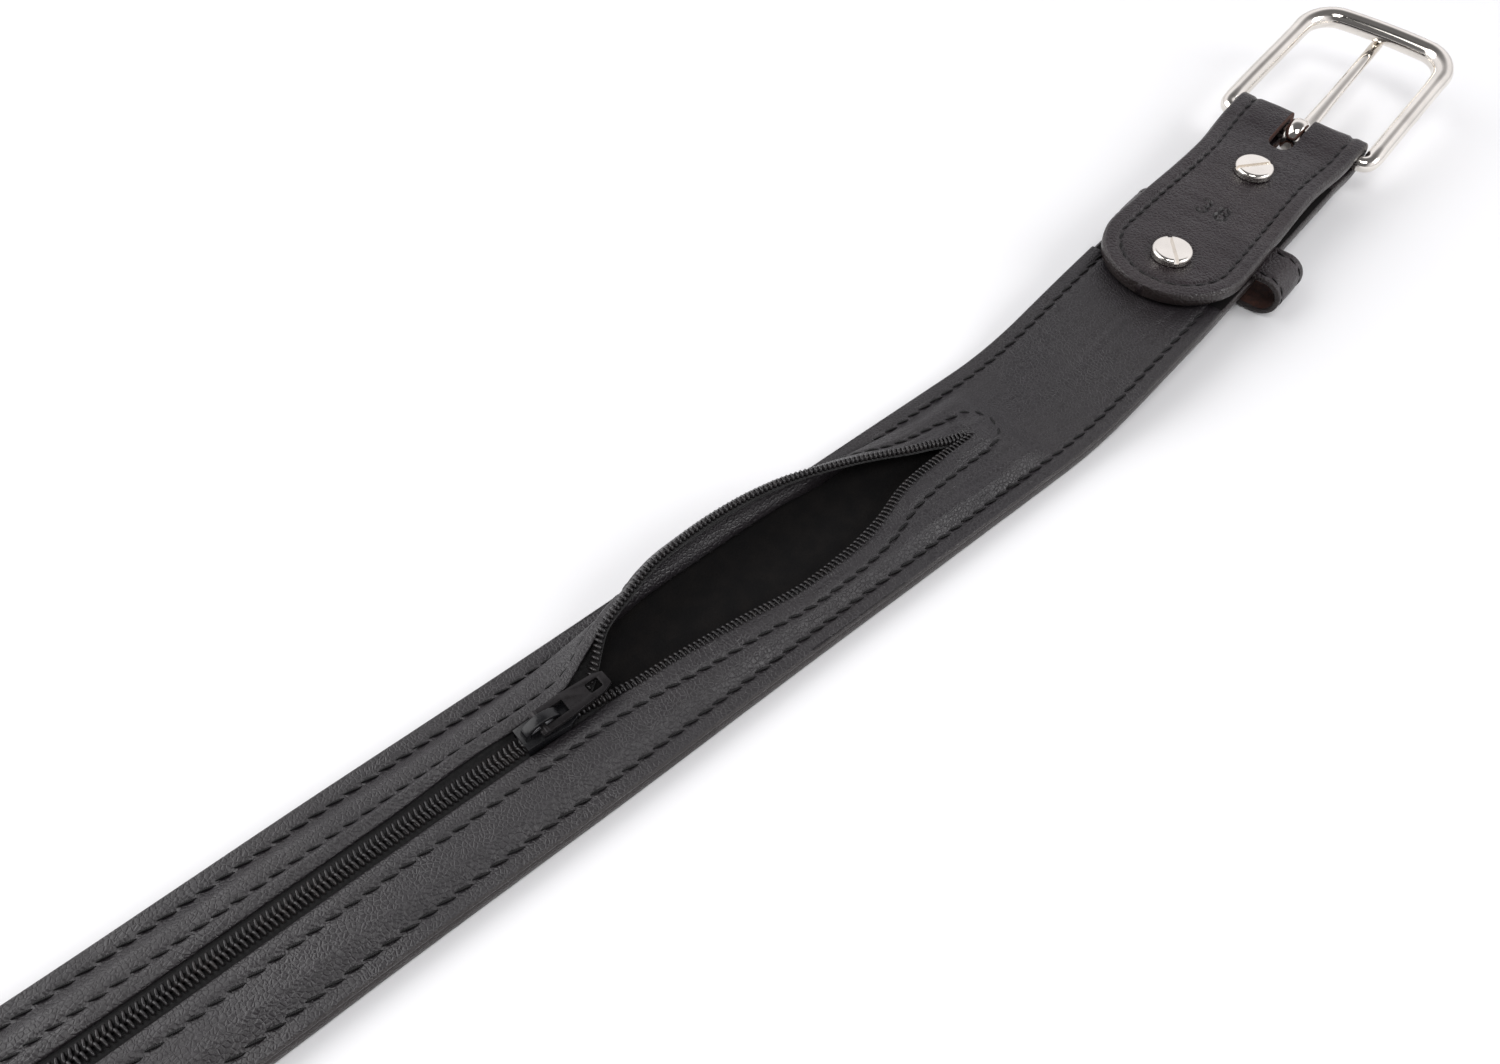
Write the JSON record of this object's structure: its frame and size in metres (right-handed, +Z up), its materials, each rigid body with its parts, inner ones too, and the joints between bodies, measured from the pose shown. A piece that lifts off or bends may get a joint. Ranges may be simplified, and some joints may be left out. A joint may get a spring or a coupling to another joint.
{
  "type": "money belt",
  "caption": "Black leather dress belt with a zipped pocket hidden behind its lining, a polished heel-bar buckle, a screwed flap and a keeper, lying face down.",
  "frame": {"origin": "on the strap's front face, at mid-width, where the straight part ends; the table is z = 0", "axes": "+X along the zipper towards the buckle, +Y to the belt's left edge, +Z up, out of the lining"},
  "size_m": [1.1277, 0.0679, 0.0209],
  "materials": {
    "strap_leather": "smooth black finished leather, satin",
    "lining_leather": "soft black leather with a fine pebbled grain",
    "thread": "black waxed thread",
    "zipper_tape": "black woven tape",
    "zipper_coil": "black nylon coil",
    "slider_paint": "gloss black enamel on zinc",
    "pull_metal": "black nickel, worn satin",
    "nickel": "polished nickel",
    "spring_steel": "plain steel"
  },
  "bodies": {
    "belt": {"outer_strap": "strap_leather", "flap_liner": "lining_leather", "pocket_lining": "lining_leather", "zipper_tape_left": "zipper_tape", "zipper_tape_right": "zipper_tape", "zipper_teeth_left": "zipper_coil", "zipper_teeth_right": "zipper_coil", "top_stops": "pull_metal", "bottom_stop": "pull_metal", "screw_near_buckle": "nickel", "screw_near_keeper": "nickel", "post_near_buckle": "nickel", "post_near_keeper": "nickel", "perimeter_thread": "thread", "zipper_seam_thread": "thread", "flap_thread": "thread"},
    "slider": {"slider_body": "slider_paint", "slider_bridge": "slider_paint", "slider_lock_spring": "spring_steel"},
    "pull": {"pull_tab": "pull_metal"},
    "buckle": {"buckle_frame": "nickel"},
    "prong": {"buckle_prong": "nickel"},
    "keeper": {"keeper_loop": "strap_leather", "keeper_staple": "spring_steel", "keeper_thread": "thread"}
  },
  "joints": [
    {"name": "zipper_slide", "type": "slide", "parent": "belt", "child": "slider", "axis": [1, 0, 0], "range_m": [-0.117, 0.113], "deforming": ["zipper_teeth_left", "zipper_teeth_right", "zipper_tape_left", "zipper_tape_right"]},
    {"name": "pull_tilt", "type": "hinge", "parent": "slider", "child": "pull", "pos_m": [-0.1325, 0.0015, 0.00885], "axis": [0, -1, 0], "range_deg": [0, 175]},
    {"name": "buckle_turn", "type": "hinge", "parent": "belt", "child": "buckle", "pos_m": [0.13869, 0.01784, 0.01045], "axis": [0.1599, -0.9871, 0], "range_deg": [-85, 135]},
    {"name": "prong_turn", "type": "hinge", "parent": "buckle", "child": "prong", "pos_m": [0.13869, 0.01784, 0.01045], "axis": [0.1599, -0.9871, 0], "range_deg": [-65, 0]},
    {"name": "keeper_slide", "type": "slide", "parent": "belt", "child": "keeper", "axis": [0.9871, 0.1599, 0], "range_m": [-0.008, 0.016]}
  ]
}
